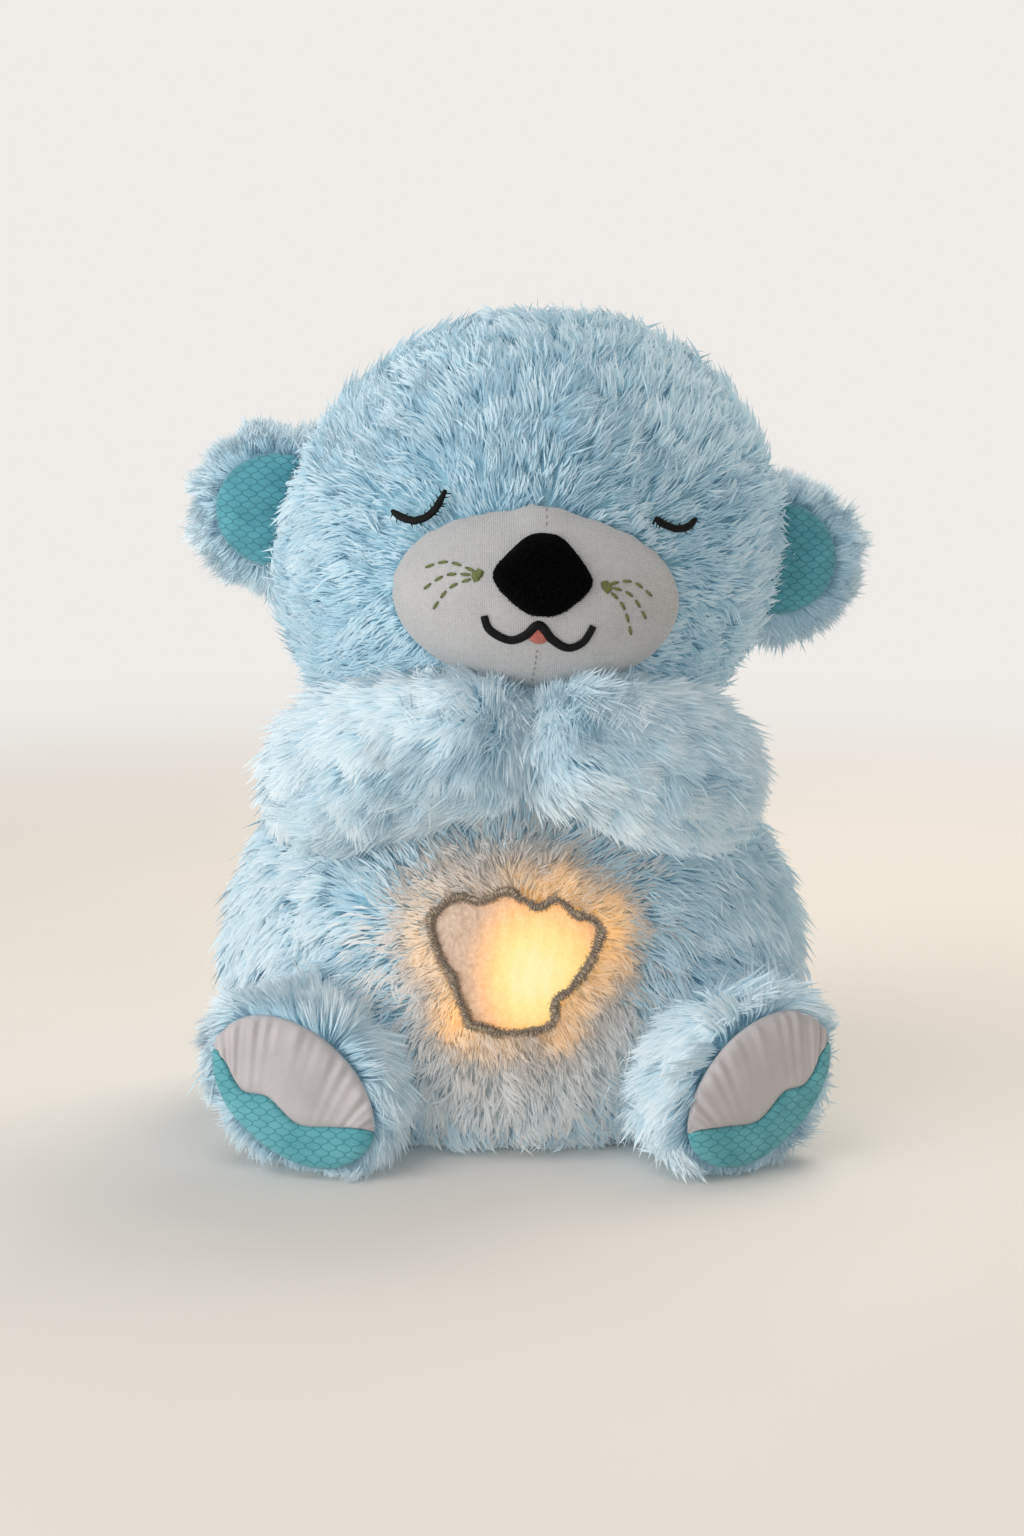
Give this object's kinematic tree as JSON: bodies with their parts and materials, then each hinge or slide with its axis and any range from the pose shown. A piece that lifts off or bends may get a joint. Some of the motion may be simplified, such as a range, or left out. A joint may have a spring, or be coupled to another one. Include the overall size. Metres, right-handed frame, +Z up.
{
  "type": "plush night light",
  "caption": "Sitting plush animal night light with closed eyes, paws under its chin, and a glowing shell-shaped window in its belly over a battery light module.",
  "frame": {"origin": "on the floor under the torso, on the flat underside behind the flap of the pocket", "axes": "+Z up, the face and the belly window look along -Y, +X to the right as seen from the front"},
  "size_m": [0.2304, 0.2132, 0.2807],
  "materials": {
    "fur": "long soft plush pile, tip-dyed pale blue",
    "fur_pale": "shorter whitish plush pile",
    "knit": "off-white fine knit fleece",
    "black_pile": "matt black short pile",
    "black_thread": "black embroidery thread",
    "red_felt": "muted red felt",
    "olive_thread": "olive embroidery thread",
    "cream_satin": "pale pinkish cream satin",
    "teal_print": "teal cloth with a darker lattice print",
    "window_fleece": "thin cream fleece lit from behind",
    "border_cord": "fuzzy grey-brown piping cord",
    "white_tape": "white hook and loop tape",
    "white_plastic": "matt moulded, warm white",
    "frosted_plastic": "frosted translucent moulding",
    "board_green": "green lacquered board",
    "lamp_lens": "clear yellowish lens",
    "reflector_white": "glossy white moulding",
    "steel": "plain zinc plated steel",
    "battery_wrap": "plain grey printed film",
    "switch_grey": "matt grey",
    "switch_black": "matt black"
  },
  "bodies": {
    "torso": {"torso": "fur", "tail": "fur", "belly_patch": "fur_pale", "window_panel": "window_fleece", "window_border": "border_cord", "module_front_shell": "white_plastic", "module_rear_shell": "white_plastic", "shell_screw_1": "steel", "shell_screw_2": "steel", "shell_screw_3": "steel", "shell_screw_4": "steel", "cover_screw": "steel", "battery_cover": "white_plastic", "battery_1": "battery_wrap", "battery_2": "battery_wrap", "battery_3": "battery_wrap", "contact_1": "steel", "contact_2": "steel", "contact_3": "steel", "contact_4": "steel", "lamp_board": "board_green", "lamp_1": "lamp_lens", "lamp_2": "lamp_lens", "lamp_3": "lamp_lens", "reflector": "reflector_white", "touch_switch": "switch_black", "loop_strip": "white_tape"},
    "head": {"head": "fur", "muzzle": "knit", "nose": "black_pile", "smile": "black_thread", "tongue": "red_felt", "eyelid_left": "black_thread", "eyelid_right": "black_thread", "ear_left": "fur", "ear_right": "fur", "inner_ear_left": "teal_print", "inner_ear_right": "teal_print"},
    "arm_left": {"arm_left": "fur"},
    "arm_right": {"arm_right": "fur"},
    "leg_left": {"leg_left": "fur", "sole_cream_left": "cream_satin", "sole_teal_left": "teal_print"},
    "leg_right": {"leg_right": "fur", "sole_cream_right": "cream_satin", "sole_teal_right": "teal_print"},
    "light_dome": {"light_dome": "frosted_plastic"},
    "power_switch": {"power_switch": "switch_grey"},
    "pocket_flap": {"pocket_flap": "fur_pale", "hook_strip": "white_tape"}
  },
  "joints": [
    {"name": "head_nod", "type": "hinge", "parent": "torso", "child": "head", "pos_m": [0, 0.002, 0.10645], "axis": [-0.9956, -0.0523, 0.0784], "range_deg": [0, 18], "stiffness_Nm_per_rad": 0.3},
    {"name": "arm_left_swing", "type": "hinge", "parent": "torso", "child": "arm_left", "pos_m": [-0.05998, -0.02202, 0.1164], "axis": [0, 0, -1], "range_deg": [0, 50], "stiffness_Nm_per_rad": 0.05},
    {"name": "arm_right_swing", "type": "hinge", "parent": "torso", "child": "arm_right", "pos_m": [0.05998, -0.02202, 0.1164], "axis": [0, 0, 1], "range_deg": [0, 50], "stiffness_Nm_per_rad": 0.05},
    {"name": "leg_left_splay", "type": "hinge", "parent": "torso", "child": "leg_left", "pos_m": [-0.0612, -0.05796, 0.02879], "axis": [0, 0, -1], "range_deg": [0, 12], "stiffness_Nm_per_rad": 0.1},
    {"name": "leg_right_splay", "type": "hinge", "parent": "torso", "child": "leg_right", "pos_m": [0.0612, -0.05796, 0.02879], "axis": [0, 0, 1], "range_deg": [0, 12], "stiffness_Nm_per_rad": 0.1},
    {"name": "window_press", "type": "slide", "parent": "torso", "child": "light_dome", "axis": [0, 1, 0], "range_m": [0, 0.0015], "stiffness_N_per_m": 400},
    {"name": "power_slide", "type": "slide", "parent": "torso", "child": "power_switch", "axis": [1, 0, 0], "range_m": [0, 0.004]},
    {"name": "flap_hinge", "type": "hinge", "parent": "torso", "child": "pocket_flap", "pos_m": [0.001, -0.00332, 0.0012], "axis": [1, 0, 0], "range_deg": [0, 95]}
  ]
}
